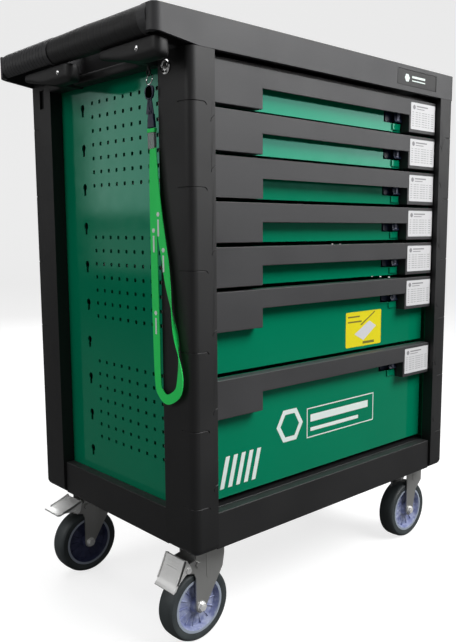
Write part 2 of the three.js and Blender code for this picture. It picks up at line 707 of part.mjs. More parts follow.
// pedalLift: degrees that this pedal stands above its pressed position.
function addSwivelCaster(suffix, y, pedalLift) {
  const caster = new THREE.Group();
  caster.position.set(SWIVEL_AXIS.x, y, 0);
  cart.add(caster);
  placeSolid(`caster_plate_${suffix}`, swivelPlate(), ZINC, caster);
  placeSolid(`fork_${suffix}`, swivelFork(), ZINC, caster);
  addWheel(suffix, caster, -TRAIL);
  const pedal = placeSolid(`brake_pedal_${suffix}`, brakePedal(), ZINC, caster);
  pedal.position.set(PEDAL_PIVOT.x, 0, PEDAL_PIVOT.z);
  pedal.rotation.y = THREE.MathUtils.degToRad(pedalLift);
}

function fixedFork() {
  const left = -12;
  const right = 42;
  const outline = new THREE.Shape();
  outline.moveTo(left, AXLE_HEIGHT);
  outline.absarc(0, AXLE_HEIGHT, -left, Math.PI, 2 * Math.PI);
  outline.lineTo(22, 104);
  outline.lineTo(right, 122);
  outline.lineTo(right, PLATE_TOP - 1);
  outline.lineTo(left, PLATE_TOP - 1);
  const plate = block(-50, 38, -40, 40, PLATE_TOP - 3.5, PLATE_TOP);
  return join(forkLegs(outline, 0), plate);
}

function addFixedCaster(suffix, y) {
  const caster = new THREE.Group();
  caster.position.set(FIXED_AXLE.x, y, 0);
  cart.add(caster);
  placeSolid(`fork_${suffix}`, fixedFork(), ZINC, caster);
  addWheel(suffix, caster, 0);
}

addSwivelCaster('front_left', SWIVEL_AXIS.y, 0);
addSwivelCaster('rear_left', CABINET_DEPTH - SWIVEL_AXIS.y, PEDAL_RAISED_BY);
addFixedCaster('front_right', FIXED_AXLE.y);
addFixedCaster('rear_right', CABINET_DEPTH - FIXED_AXLE.y);

// ---------------------------------------------------------------- key lanyard

// Flat strap that hangs beside the front left bumper: keys, a sleeve and a long loop.
function lanyard() {
  const outer = polygon([
    [88, 922], [98, 922], [98, 815], [92, 800], [93, 440], [84, 428], [60, 418], [38, 423],
    [22, 440], [17, 470], [24, 505], [38, 560], [54, 650], [72, 760], [84, 815],
  ]);
  const opening = polygon([
    [84, 740], [86, 445], [80, 436], [60, 427], [42, 432], [31, 445], [26, 470], [33, 505],
    [47, 560], [62, 650],
  ]);
  const thickness = 3;
  const x = LANYARD_HOOK.x - 2.5;
  return cut(
    extrudeRight(outer, x, x + thickness),
    extrudeRight(opening, x - 1, x + thickness + 1),
  );
}

placeSolid('lanyard', lanyard(), STRAP_GREEN);

export default cart;
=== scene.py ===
"""Looks of the tool cart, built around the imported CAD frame.

Shapes are laid out in millimetres in the cabinet's own frame: x runs right along the front
from the front left corner, y runs back from the front face, z is height above a level
3.5 mm over the floor.
"""

import json
import math

import bmesh
import bpy
from mathutils import Matrix, Vector

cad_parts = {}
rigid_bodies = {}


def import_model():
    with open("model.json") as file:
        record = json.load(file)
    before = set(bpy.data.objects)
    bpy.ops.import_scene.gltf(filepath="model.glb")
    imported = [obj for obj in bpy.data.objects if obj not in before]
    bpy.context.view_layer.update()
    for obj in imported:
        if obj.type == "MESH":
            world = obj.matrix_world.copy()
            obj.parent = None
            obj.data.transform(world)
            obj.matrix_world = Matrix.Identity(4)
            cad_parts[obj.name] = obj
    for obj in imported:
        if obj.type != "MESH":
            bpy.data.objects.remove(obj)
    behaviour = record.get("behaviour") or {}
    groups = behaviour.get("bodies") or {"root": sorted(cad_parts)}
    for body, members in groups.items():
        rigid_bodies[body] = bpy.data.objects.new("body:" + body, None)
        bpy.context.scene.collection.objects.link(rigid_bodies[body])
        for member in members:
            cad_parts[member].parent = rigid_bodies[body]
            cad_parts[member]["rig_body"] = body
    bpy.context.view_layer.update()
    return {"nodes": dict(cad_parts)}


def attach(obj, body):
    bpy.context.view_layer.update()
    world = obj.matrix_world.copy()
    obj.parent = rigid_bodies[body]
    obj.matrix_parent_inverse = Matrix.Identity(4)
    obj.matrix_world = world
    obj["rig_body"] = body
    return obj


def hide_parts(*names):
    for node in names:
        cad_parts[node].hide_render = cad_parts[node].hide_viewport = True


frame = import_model()
SCENE = bpy.context.scene

# ------------ shared dimensions (mm)

MM = 0.001
CART_MIDDLE = (329.75, 247.5)  # cabinet-frame point over the shared frame's origin
LIFT = 3.5  # height of the cabinet frame's z = 0 above the floor
WIDTH = 700.0
DEPTH = 495.0
BUMPER_TOP = 957.7
BUMPER_BOTTOM = 173.0
BUMPER_PROUD = 23.4
BUMPER_FRONT = 48.0
BUMPER_SIDE = 78.0
BUMPER_RADIUS = 14.0
PANEL_X = 23.7  # outer face of the left side panel
FASCIA_Y = 11.3  # front face of the drawers' grip strips
SHEET_Y = 32.2  # front face of the drawers' green sheets
LOCK = (57.6, 933.7)  # y and z of the lock's axis
SWIVEL_X = 74.0
SWIVEL_INSET = 68.0  # swivel casters, from the front or rear
FIXED_X = 660.0
FIXED_INSET = 78.0
WHEEL_RADIUS = 63.5
AXLE_Z = 60.0
HUB_RADIUS = 47.0

DRAWER_TOPS = [948.0, 877.0, 806.0, 735.0, 664.0, 593.0, 451.0]

TO_SHARED = Matrix.Scale(MM, 4) @ Matrix.Translation(
    (-CART_MIDDLE[0], -CART_MIDDLE[1], LIFT)
)

# ------------ materials


class Shader:
    """A material with a Principled surface, and short ways to add nodes to it."""

    def __init__(self, name):
        self.material = bpy.data.materials.new(name)
        self.material.use_nodes = True
        self.tree = self.material.node_tree
        self.surface = self.tree.nodes["Principled BSDF"]
        self.place = self.node("ShaderNodeTexCoord").outputs["Object"]

    def node(self, kind, **settings):
        made = self.tree.nodes.new(kind)
        for key, value in settings.items():
            setattr(made, key, value)
        return made

    def link(self, source, target):
        self.tree.links.new(source, target)

    def set(self, **values):
        for key, value in values.items():
            self.surface.inputs[key.replace("_", " ")].default_value = value

    def scaled_place(self, stretch):
        mapping = self.node("ShaderNodeMapping")
        mapping.inputs["Scale"].default_value = stretch
        self.link(self.place, mapping.inputs["Vector"])
        return mapping.outputs["Vector"]

    def noise(self, scale, detail=3.0, stretch=None):
        made = self.node("ShaderNodeTexNoise")
        made.inputs["Scale"].default_value = scale
        made.inputs["Detail"].default_value = detail
        place = self.scaled_place(stretch) if stretch else self.place
        self.link(place, made.inputs["Vector"])
        return made.outputs["Fac"]

    def cells(self, scale, output="Distance"):
        made = self.node("ShaderNodeTexVoronoi")
        made.inputs["Scale"].default_value = scale
        self.link(self.place, made.inputs["Vector"])
        return made.outputs[output]

    def between(self, factor, low, high, first=0.3, last=0.7):
        """Maps a factor from first..last on to the range low..high."""
        made = self.node("ShaderNodeMapRange")
        made.inputs["From Min"].default_value = first
        made.inputs["From Max"].default_value = last
        made.inputs["To Min"].default_value = low
        made.inputs["To Max"].default_value = high
        self.link(factor, made.inputs["Value"])
        return made.outputs["Result"]

    def mix(self, factor, first, second):
        made = self.node("ShaderNodeMix", data_type="RGBA")
        self.link(factor, made.inputs["Factor"])
        for socket, colour in ((made.inputs["A"], first), (made.inputs["B"], second)):
            if isinstance(colour, tuple):
                socket.default_value = (*colour, 1.0)
            else:
                self.link(colour, socket)
        return made.outputs["Result"]

    def bump(self, height, distance, strength=1.0):
        """Adds relief of the given depth in mm on top of any relief already there."""
        made = self.node("ShaderNodeBump")
        made.inputs["Distance"].default_value = distance * MM
        made.inputs["Strength"].default_value = strength
        self.link(height, made.inputs["Height"])
        earlier = self.surface.inputs["Normal"].links
        if earlier:
            self.link(earlier[0].from_socket, made.inputs["Normal"])
        self.link(made.outputs["Normal"], self.surface.inputs["Normal"])

    def upward(self):
        """1 on faces that look up, 0 on the others."""
        normal = self.node("ShaderNodeNewGeometry").outputs["Normal"]
        parts = self.node("ShaderNodeSeparateXYZ")
        self.link(normal, parts.inputs["Vector"])
        return self.between(parts.outputs["Z"], 0.0, 1.0, 0.3, 1.0)


def darker(colour, share):
    return tuple(part * share for part in colour)


def moulded_plastic(name, colour, roughness, grain=1400.0, depth=0.05):
    """Grained plastic: fine pebbles, uneven sheen, and noise patches a little lighter on faces
    that look up.
    """
    shader = Shader(name)
    cloud = shader.noise(9.0, 4.0)
    tint = shader.mix(shader.between(cloud, 0, 1), darker(colour, 0.86), colour)
    # Faces that look up are mixed toward a slightly lighter colour, in noise patches.
    lighter_patches = shader.mix(shader.noise(60.0, 5.0), colour, tuple(c + 0.02 for c in colour))
    lighter_on_top = shader.mix(shader.upward(), tint, lighter_patches)
    shader.link(lighter_on_top, shader.surface.inputs["Base Color"])
    shader.link(
        shader.between(cloud, roughness - 0.05, roughness + 0.07),
        shader.surface.inputs["Roughness"],
    )
    shader.set(Specular_IOR_Level=0.38)
    shader.bump(shader.cells(grain), depth)
    return shader.material


def powder_paint(name, colour, roughness, glint=(1.0, 1.0, 1.0)):
    """Powder coat: faint orange peel, a slightly uneven gloss and a tinted glint."""
    shader = Shader(name)
    cloud = shader.noise(5.0, 2.0)
    tint = shader.mix(shader.between(cloud, 0, 1), darker(colour, 0.93), colour)
    shader.link(tint, shader.surface.inputs["Base Color"])
    shader.link(
        shader.between(shader.noise(40.0), roughness - 0.02, roughness + 0.03),
        shader.surface.inputs["Roughness"],
    )
    shader.set(Specular_Tint=(*glint, 1.0))
    shader.bump(shader.noise(450.0, 2.0), 0.03, 0.35)
    return shader.material


def zinc_plate(name, colour, roughness=0.34, scratch=0.08, metallic=0.9):
    """Bright zinc: drawn scratches, faint crystal patches and dull spots."""
    shader = Shader(name)
    patches = shader.cells(45.0, "Color")
    value = shader.node("ShaderNodeRGBToBW")
    shader.link(patches, value.inputs["Color"])
    shade = shader.between(value.outputs["Val"], 0.0, 1.0, 0.0, 1.0)
    tint = shader.mix(shade, darker(colour, 0.95), colour)
    shader.link(tint, shader.surface.inputs["Base Color"])
    scratches = shader.noise(900.0, 4.0, (1.0, 1.0, 0.06))
    shader.link(
        shader.between(scratches, roughness - scratch, roughness + scratch),
        shader.surface.inputs["Roughness"],
    )
    shader.set(Metallic=metallic)
    shader.bump(scratches, 0.01, 4 * scratch)
    return shader.material


def polished(name, colour):
    shader = Shader(name)
    smudge = shader.noise(120.0, 4.0)
    shader.link(
        shader.between(smudge, 0.06, 0.16), shader.surface.inputs["Roughness"]
    )
    shader.set(Base_Color=(*colour, 1.0), Metallic=1.0)
    shader.bump(smudge, 0.01, 0.2)
    return shader.material


def rubber(name, colour):
    shader = Shader(name)
    scuff = shader.noise(70.0, 6.0)
    tint = shader.mix(shader.between(scuff, 0, 1), darker(colour, 0.75), colour)
    shader.link(tint, shader.surface.inputs["Base Color"])
    shader.link(
        shader.between(scuff, 0.42, 0.62), shader.surface.inputs["Roughness"]
    )
    shader.bump(shader.noise(600.0, 3.0), 0.06, 0.5)
    return shader.material


def mottled_plastic(name, colour, pale):
    """Hub plastic with pale flow marks in it."""
    shader = Shader(name)
    flow = shader.noise(85.0, 5.0)
    tint = shader.mix(shader.between(flow, 0, 1, 0.4, 0.65), colour, pale)
    shader.link(tint, shader.surface.inputs["Base Color"])
    shader.set(Roughness=0.42)
    shader.bump(flow, 0.08, 0.5)
    return shader.material


def woven_strap(name, colour):
    """Woven tape: fine crossing threads with a soft sheen."""
    shader = Shader(name)
    weave = []
    for direction in ("Y", "Z"):
        wave = shader.node("ShaderNodeTexWave", bands_direction=direction)
        wave.inputs["Scale"].default_value = 420.0
        shader.link(shader.place, wave.inputs["Vector"])
        weave.append(wave.outputs["Fac"])
    threads = shader.node("ShaderNodeMath", operation="MULTIPLY")
    shader.link(weave[0], threads.inputs[0])
    shader.link(weave[1], threads.inputs[1])
    tint = shader.mix(threads.outputs["Value"], darker(colour, 0.8), colour)
    shader.link(tint, shader.surface.inputs["Base Color"])
    shader.set(Roughness=0.55, Sheen_Weight=0.1)
    shader.bump(threads.outputs["Value"], 0.1, 0.5)
    return shader.material


def flat_print(name, colour, roughness=0.45, mottle=0.92):
    """Printed ink or plain film with a faint uneven tone."""
    shader = Shader(name)
    cloud = shader.noise(220.0, 3.0)
    shader.link(
        shader.mix(cloud, darker(colour, mottle), colour),
        shader.surface.inputs["Base Color"],
    )
    shader.set(Roughness=roughness)
    shader.bump(cloud, 0.01, 0.3)
    return shader.material


def clear_film(name):
    shader = Shader(name)
    shader.set(Roughness=0.12, Transmission_Weight=0.85, IOR=1.3)
    shader.set(Base_Color=(0.85, 0.88, 0.85, 1.0))
    shader.bump(shader.noise(300.0), 0.03, 0.4)
    return shader.material


BLACK_PLASTIC = moulded_plastic("black_plastic", (0.010, 0.010, 0.0105), 0.50)
GREY_PLASTIC = moulded_plastic("worktop_plastic", (0.036, 0.036, 0.038), 0.48)
GREEN_PAINT = powder_paint("green_paint", (0.0, 0.20, 0.098), 0.10, (0.12, 1.0, 0.72))
BLACK_STEEL = powder_paint("black_steel", (0.012, 0.012, 0.013), 0.45)
ZINC = zinc_plate("zinc_steel", (0.44, 0.44, 0.43), 0.36, 0.06, 0.75)
BRIGHT_ZINC = zinc_plate("bright_zinc", (0.86, 0.86, 0.85), 0.34, 0.02, 0.45)
LATCH_STEEL = zinc_plate("latch_steel", (0.26, 0.27, 0.36), 0.35, 0.04, 0.3)
CHROME = polished("chrome", (0.80, 0.80, 0.80))
TYRE = rubber("tyre", (0.045, 0.055, 0.058))
HUB = mottled_plastic("hub_plastic", (0.20, 0.23, 0.42), (0.42, 0.46, 0.62))
# Copy of the hub plastic in the same hue, about five times darker: painted shade for the rear
# left wheel.
SHADED_HUB = mottled_plastic("hub_plastic_painted_shade", (0.035, 0.042, 0.10), (0.06, 0.07, 0.15))
HUB_RING = flat_print("hub_ring", (0.38, 0.43, 0.52))
STRAP = woven_strap("strap", (0.002, 0.90, 0.14))
LABEL_PAPER = flat_print("label_paper", (0.66, 0.66, 0.67), 0.6)
LABEL_INK = flat_print("label_ink", (0.24, 0.24, 0.25), 0.6)
WHITE_INK = flat_print("white_ink", (0.78, 0.88, 0.84), 0.5)
STICKER = flat_print("sticker", (0.85, 0.74, 0.01), 0.3)
STICKER_INK = flat_print("sticker_ink", (0.20, 0.17, 0.02), 0.4)
NAVY_PLASTIC = moulded_plastic("navy_plastic", (0.006, 0.014, 0.045), 0.35)
CLEAR_SLEEVE = clear_film("clear_sleeve")

# ------------ shape helpers (mm)

AXIS_ORDER = {"x": (2, 0, 1), "y": (0, 2, 1), "z": (0, 1, 2)}  # (a, b, level) to (x, y, z)


def prism(outline, axis, start, end):
    """Closed outline swept along an axis. Outline points are (y, z), (x, z) or (x, y)."""
    order = AXIS_ORDER[axis]
    bm = bmesh.new()
    rings = []
    for level in (start, end):
        ring = []
        for a, b in outline:
            point = (a, b, level)
            ring.append(bm.verts.new([point[i] for i in order]))
        rings.append(ring)
    bm.faces.new(rings[0])
    bm.faces.new(rings[1])
    close_sides(bm, rings)
    return bm


def close_sides(bm, rings):
    """Quads between each ring of vertices and the next."""
    for lower, upper in zip(rings, rings[1:]):
        for i in range(len(lower)):
            j = (i + 1) % len(lower)
            bm.faces.new((lower[i], lower[j], upper[j], upper[i]))


def box(x0, x1, y0, y1, z0, z1):
    return prism([(x0, y0), (x1, y0), (x1, y1), (x0, y1)], "z", z0, z1)


def circle(a, b, radius, sides=32):
    turn = 2 * math.pi / sides
    return [
        (a + radius * math.cos(i * turn), b + radius * math.sin(i * turn))
        for i in range(sides)
    ]


def arc(a, b, radius, start, end, steps=6):
    """Points along an arc, angles in degrees."""
    angles = [math.radians(start + (end - start) * i / steps) for i in range(steps + 1)]
    return [(a + radius * math.cos(t), b + radius * math.sin(t)) for t in angles]


def rounded(a0, a1, b0, b1, radius, steps=5):
    return (
        arc(a1 - radius, b0 + radius, radius, -90, 0, steps)
        + arc(a1 - radius, b1 - radius, radius, 0, 90, steps)
        + arc(a0 + radius, b1 - radius, radius, 90, 180, steps)
        + arc(a0 + radius, b0 + radius, radius, 180, 270, steps)
    )


def full_turn(count):
    """Evenly spaced angles once round, in radians."""
    return [2 * math.pi * i / count for i in range(count)]


def turned(profile, x, y, z, sides=96):
    """Closed (radius, along y) profile turned about an axle along y."""
    bm = bmesh.new()
    rings = []
    for angle in full_turn(sides):
        c, s = math.cos(angle), math.sin(angle)
        rings.append([bm.verts.new((x + r * c, y + w, z + r * s)) for r, w in profile])
    close_sides(bm, rings + rings[:1])
    return bm


def turned_about_x(profile, y, z):
    """Closed (radius, along x) profile turned about a line along x."""
    quarter = Matrix.Translation((0, y, z)) @ Matrix.Rotation(math.radians(-90), 4, "Z")
    return moved(turned(profile, 0, 0, 0, 48), quarter)


def ring_profile(inner, outer, low, high):
    return [(inner, low), (outer, low), (outer, high), (inner, high)]


def tube(path, radius, sides=8, closed=False):
    """Round section swept along a path of points."""
    points = [Vector(p) for p in path]
    bm = bmesh.new()
    rings = []
    count = len(points)
    for i, point in enumerate(points):
        before = points[i - 1] if closed or i > 0 else point
        after = points[(i + 1) % count] if closed or i < count - 1 else point
        along = (after - before).normalized()
        side = along.cross(Vector((0.31, 0.17, 0.93))).normalized()
        other = along.cross(side)
        rings.append([
            bm.verts.new(point + side * (radius * c) + other * (radius * s))
            for c, s in circle(0, 0, 1, sides)
        ])
    if closed:
        close_sides(bm, rings + rings[:1])
    else:
        close_sides(bm, rings)
        bm.faces.new(rings[0])
        bm.faces.new(rings[-1])
    return bm


def merged(shapes):
    """Several shapes as one bmesh."""
    whole = bmesh.new()
    for shape in shapes:
        mesh = bpy.data.meshes.new("part")
        shape.to_mesh(mesh)
        shape.free()
        whole.from_mesh(mesh)
        bpy.data.meshes.remove(mesh)
    return whole


def moved(bm, matrix):
    """The shape moved. A mirrored one has its faces reversed, to look outward again."""
    bm.transform(matrix)
    if matrix.determinant() < 0:
        bmesh.ops.reverse_faces(bm, faces=bm.faces)
    return bm


def turn_about_y(degrees, x, z):
    """Rotation about an axle along y through (x, z)."""
    there = Matrix.Translation((x, 0, z))
    return there @ Matrix.Rotation(math.radians(degrees), 4, "Y") @ there.inverted()


MIRROR_X = Matrix.Translation((WIDTH, 0, 0)) @ Matrix.Diagonal((-1, 1, 1, 1))
MIRROR_Y = Matrix.Translation((0, DEPTH, 0)) @ Matrix.Diagonal((1, -1, 1, 1))

# ------------ object helpers


def new_object(name, bm):
    bm.transform(TO_SHARED)
    bmesh.ops.recalc_face_normals(bm, faces=bm.faces)
    mesh = bpy.data.meshes.new(name)
    bm.to_mesh(mesh)
    bm.free()
    obj = bpy.data.objects.new(name, mesh)
    SCENE.collection.objects.link(obj)
    return obj


def shade(obj, angle=32):
    mesh = obj.data
    mesh.shade_smooth()
    mesh.set_sharp_from_angle(angle=math.radians(angle))


def round_edges(obj, width, segments=2):
    """Fine rounded edges on every corner sharper than 32 degrees."""
    bevel = obj.modifiers.new("rounded_edges", "BEVEL")
    bevel.width = width * MM
    bevel.segments = segments
    bevel.limit_method = "ANGLE"
    bevel.angle_limit = math.radians(32)
    bevel.harden_normals = True


def piece(name, bm, material, body, rounding=0.0, segments=2):
    """A visible piece that rides on a CAD body."""
    obj = new_object(name, bm)
    obj.data.materials.append(material)
    shade(obj)
    if rounding:
        round_edges(obj, rounding, segments)
    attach(obj, body)
    return obj


def carve(obj, cutter):
    """Cuts a shape out of an object for good."""
    tool = new_object("cutter", cutter)
    modifier = obj.modifiers.new("cut", "BOOLEAN")
    modifier.operation = "DIFFERENCE"
    modifier.solver = "EXACT"
    modifier.use_self = True
    modifier.object = tool
    settle(obj)
    bpy.data.objects.remove(tool)


def settle(obj):
    """Turns an object's modifiers into plain mesh."""
    graph = bpy.context.evaluated_depsgraph_get()
    result = bpy.data.meshes.new_from_object(obj.evaluated_get(graph))
    obj.modifiers.clear()
    obj.data = result


def tidy_faces(obj):
    """Joins the triangles of a CAD node back into flat faces."""
    weld = obj.modifiers.new("weld", "WELD")
    weld.merge_threshold = 0.01 * MM
    flatten = obj.modifiers.new("flat_faces", "DECIMATE")
    flatten.decimate_type = "DISSOLVE"
    flatten.angle_limit = math.radians(0.8)


def refinish(obj, material):
    """Gives an object one material and drops the normals stored with its CAD faces."""
    obj.data.materials.clear()
    obj.data.materials.append(material)
    for polygon in obj.data.polygons:
        polygon.material_index = 0
    if "custom_normal" in obj.data.attributes:
        obj.data.attributes.remove(obj.data.attributes["custom_normal"])


def dress(node, material, rounding=0.8, segments=2):
    """Shows a CAD node as it is, with a finish and fine rounded edges."""
    obj = frame["nodes"][node]
    refinish(obj, material)
    tidy_faces(obj)
    round_edges(obj, rounding, segments)
    shade(obj)
    return obj


def soften(obj):
    """Melts an object's edges into one smooth moulded shape."""
    remesh = obj.modifiers.new("remesh", "REMESH")
    remesh.mode = "VOXEL"
    remesh.voxel_size = 2.0 * MM
    smooth = obj.modifiers.new("smooth", "SMOOTH")
    smooth.factor = 0.5
    smooth.iterations = 30
    return obj


def worked_copy(node, name, material, cutter, rounding=0.8, segments=2):
    """A piece cut further than its CAD node, which it stands for."""
    source = frame["nodes"][node]
    obj = bpy.data.objects.new(name, source.data.copy())
    SCENE.collection.objects.link(obj)
    refinish(obj, material)
    tidy_faces(obj)
    settle(obj)
    carve(obj, cutter)
    for polygon in obj.data.polygons:
        polygon.material_index = 0
    shade(obj)
    if rounding:
        round_edges(obj, rounding, segments)
    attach(obj, source["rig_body"])
    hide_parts(node)
    return obj

# ------------ corner bumpers

GROOVE_TOP = 880.0
GROOVE_PITCH = 125.5
GROOVE_COUNT = 6
GROOVE_RADIUS = 1.0
ARC_ABOVE_GROOVE = 23.0


def wrap_groove(z):
    """Groove round the bumper's outer corner, curled down at its end on the front face."""
    side = [(0, 30, z), (0, BUMPER_RADIUS, z)]
    corner = [
        (x, y, z) for x, y in arc(BUMPER_RADIUS, BUMPER_RADIUS, BUMPER_RADIUS, 180, 270)
    ]
    curl = [(26 + 5 * math.sin(t), 0, z - 5 + 5 * math.cos(t)) for t in (0.0, 0.5, 1.0, 1.5)]
    return tube(side + corner[1:] + curl, GROOVE_RADIUS)


def edge_arc(z):
    """Small quarter-round groove at the inner edge of the bumper's front face."""
    return tube([(x, 0, b) for x, b in arc(BUMPER_FRONT + 1, z, 10, 90, 180)], GROOVE_RADIUS)


def bumper_outline(inset):
    """The bumper's L in plan, its outer faces moved in by an inset."""
    corner = arc(BUMPER_RADIUS, BUMPER_RADIUS, BUMPER_RADIUS - inset, 180, 270, 8)
    return [
        (BUMPER_FRONT, inset), (BUMPER_FRONT, BUMPER_PROUD), (BUMPER_PROUD, BUMPER_PROUD),
        (BUMPER_PROUD, BUMPER_SIDE), (inset, BUMPER_SIDE),
    ] + corner


def bumper_body():
    """L-shaped post with a rounded outer bottom edge."""
    radius = 12.0
    levels = [
        (radius * (1 - math.sin(t)), BUMPER_BOTTOM + radius * (1 - math.cos(t)))
        for t in [math.pi / 2 * i / 5 for i in range(6)]
    ]
    levels.append((0.0, BUMPER_TOP))
    bm = bmesh.new()
    rings = [
        [bm.verts.new((x, y, z)) for x, y in bumper_outline(inset)] for inset, z in levels
    ]
    bm.faces.new(rings[0])
    bm.faces.new(rings[-1])
    close_sides(bm, rings)
    return bm


def bumper_cuts():
    shapes = []
    for i in range(GROOVE_COUNT):
        z = GROOVE_TOP - i * GROOVE_PITCH
        shapes.append(wrap_groove(z))
        shapes.append(edge_arc(z + (ARC_ABOVE_GROOVE if i else -ARC_ABOVE_GROOVE - 5)))
    return shapes


def add_bumpers():
    """Four mirrored posts, with the lock's hole in one and a slot in another."""
    lock_hole = prism(circle(*LOCK, 10.4, 48), "x", -5, 30)
    rear_slot = box(-1, 5, DEPTH - 54, DEPTH - 38, 916, 950)
    places = {
        "front_left": (Matrix.Identity(4), lock_hole),
        "front_right": (MIRROR_X, None),
        "rear_left": (MIRROR_Y, rear_slot),
        "rear_right": (MIRROR_X @ MIRROR_Y, None),
    }
    for corner, (mirror, extra) in places.items():
        cuts = moved(merged(bumper_cuts()), mirror)
        if extra:
            cuts = merged([cuts, extra])
        bumper = new_object(f"bumper_{corner}", moved(bumper_body(), mirror))
        bumper.data.materials.append(BLACK_PLASTIC)
        carve(bumper, cuts)
        shade(bumper, 40)
        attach(bumper, "cabinet")
        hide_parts(f"corner_bumper_{corner}")


# ------------ steel case

HOLE_GROUP_TOPS = [913.4, 677.5, 449.4]
HOLE_ROWS = 7
HOLE_COLUMNS = 9
HOLE_PITCH_Z = 24.0
HOLE_PITCH_Y = 24.5
HOLE_FIRST_Y = 309.8
HOLE_SIZE = 6.4
KEYHOLE_Y = 342.6
KEYHOLE_TOP = 907.7
KEYHOLE_PITCH = 70.1
KEYHOLE_COUNT = 10
FOLD_Y = 397.0
SET_BACK = 0.9
PANEL_CUT = (PANEL_X - 2, PANEL_X + 4)  # x range of a cut right through the panel
SCREW_HEIGHTS = (210, 330, 570, 810, 925)
SCREW_COLUMNS = (60, 640)


def keyhole_outline(y, z):
    """Round hole with a narrower slot under it."""
    head = arc(y, z, 6.5, -57, 237, 12)
    return head + [(y - 3.5, z - 15), (y + 3.5, z - 15)]


def perforation():
    """Three groups of small square holes, and a column of keyholes behind them."""
    shapes = []
    half = HOLE_SIZE / 2
    for top in HOLE_GROUP_TOPS:
        for row in range(HOLE_ROWS):
            for column in range(HOLE_COLUMNS):
                z = top - row * HOLE_PITCH_Z
                y = HOLE_FIRST_Y - column * HOLE_PITCH_Y
                hole = rounded(y - half, y + half, z - half, z + half, 1.2, 2)
                shapes.append(prism(hole, "x", *PANEL_CUT))
    for i in range(KEYHOLE_COUNT):
        hole = keyhole_outline(KEYHOLE_Y, KEYHOLE_TOP - i * KEYHOLE_PITCH)
        shapes.append(prism(hole, "x", *PANEL_CUT))
    return shapes


def side_panel_cuts():
    """Perforation, and the shallow set-back of the panel's rear strip."""
    set_back = box(PANEL_X - 2, PANEL_X + SET_BACK, FOLD_Y, DEPTH, 170, 960)
    return merged(perforation() + [set_back])


def add_case():
    """Steel panels, rails, base, slide racks and lock bar."""
    worked_copy(
        "side_panel_left", "side_panel_left_perforated", GREEN_PAINT,
        side_panel_cuts(), 0.25, 1,
    )
    worked_copy(
        "side_panel_right", "side_panel_right_perforated", GREEN_PAINT,
        moved(side_panel_cuts(), MIRROR_X), 0.25, 1,
    )
    dress("back_panel", GREEN_PAINT, 0.5)
    dress("front_top_rail", BLACK_STEEL, 0.5)
    dress("base_pan", BLACK_STEEL, 0.8)
    dress("base_frame", BLACK_PLASTIC, 2.2, 3)
    dress("slide_rack_left", ZINC, 0.3, 1)
    dress("slide_rack_right", ZINC, 0.3, 1)
    dress("lock_bar", ZINC, 0.3, 1)
    screws = []
    for z in SCREW_HEIGHTS:
        for x in SCREW_COLUMNS:
            screws.append(screw_head("y", x, z, DEPTH - PANEL_X - 0.3, 1))
    piece("back_panel_screws", merged(screws), ZINC, "cabinet", 0.2)


def screw_head(axis, a, b, level, way, radius=4.0):
    """Domed cross-head screw: its underside at level, standing out toward way."""
    dome = [(radius, 0.0), (radius, 0.8), (radius * 0.75, 1.8), (radius * 0.35, 2.3)]
    bm = bmesh.new()
    order = AXIS_ORDER[axis]
    rings = []
    for r, height in dome:
        ring = []
        for i, (c, s) in enumerate(circle(0, 0, 1, 24)):
            dent = 0.8 if i % 6 == 0 and height > 1 else 0.0
            point = (a + r * c, b + r * s, level + way * (height - dent))
            ring.append(bm.verts.new([point[k] for k in order]))
        rings.append(ring)
    bm.faces.new(rings[0])
    close_sides(bm, rings)
    point = (a, b, level + way * 0.9)
    centre = bm.verts.new([point[k] for k in order])
    last = rings[-1]
    for i in range(len(last)):
        bm.faces.new((last[i], last[(i + 1) % len(last)], centre))
    return bm


# ------------ worktop and handle

BADGE = (502.0, 633.0, 967.0, 998.0)
GRIP_X = -44.0
GRIP_Z = 990.0
GRIP_HALF = (20.0, 23.0)
GRIP_FROM = 39.0
GRIP_TO = 307.0


def wing_ribs():
    """Fine grooves across the rounded outer face of the wing, behind the grip."""
    half_width, half_height = GRIP_HALF
    inside = [
        (GRIP_X + (half_width - 0.5) * math.cos(t), GRIP_Z + (half_height - 0.5) * math.sin(t))
        for t in [math.radians(95 + 14 * i) for i in range(13)]
    ]
    section = inside + arc(GRIP_X, GRIP_Z, 30, 263, 95, 12)
    return [prism(section, "y", y, y + 1.2) for y in range(320, 472, 11)]


def add_worktop():
    """Moulded top with grooves in its wing, and a nameplate set into its front rim."""
    badge_recess = prism(rounded(*BADGE, 2.0), "y", -1, 1.2)
    worked_copy(
        "worktop", "worktop_moulding", GREY_PLASTIC,
        merged([badge_recess] + wing_ribs()), 2.5, 3,
    )
    x0, x1, z0, z1 = BADGE
    plate = prism(rounded(x0 + 1.5, x1 - 1.5, z0 + 1.5, z1 - 1.5, 1.5), "y", 0.5, 1.2)
    piece("badge_plate", plate, BLACK_PLASTIC, "cabinet", 0.2)
    middle = (z0 + z1) / 2
    marks = [
        prism(circle(x0 + 32, middle, 8, 6), "y", 0.3, 0.5),
        box(x0 + 48, x0 + 92, 0.3, 0.5, middle + 1.5, middle + 5.5),
        box(x0 + 48, x0 + 92, 0.3, 0.5, middle - 4.5, middle - 2.5),
    ]
    piece("badge_marks", merged(marks), WHITE_INK, "cabinet")


def grip_radius(y):
    """Share of the full section: necked at both ends, fuller around the middle."""
    end = min(y - GRIP_FROM, GRIP_TO - y) - 0.3
    neck = 1 - 0.05 * math.exp(-end / 3.0)
    crease = 1 - 0.012 * abs(math.cos(math.pi * (y - GRIP_FROM) / 19.0)) ** 24
    bulge = 0.035 * math.exp(-((y - 200) / 45) ** 2)
    return neck * crease * (0.965 + bulge)


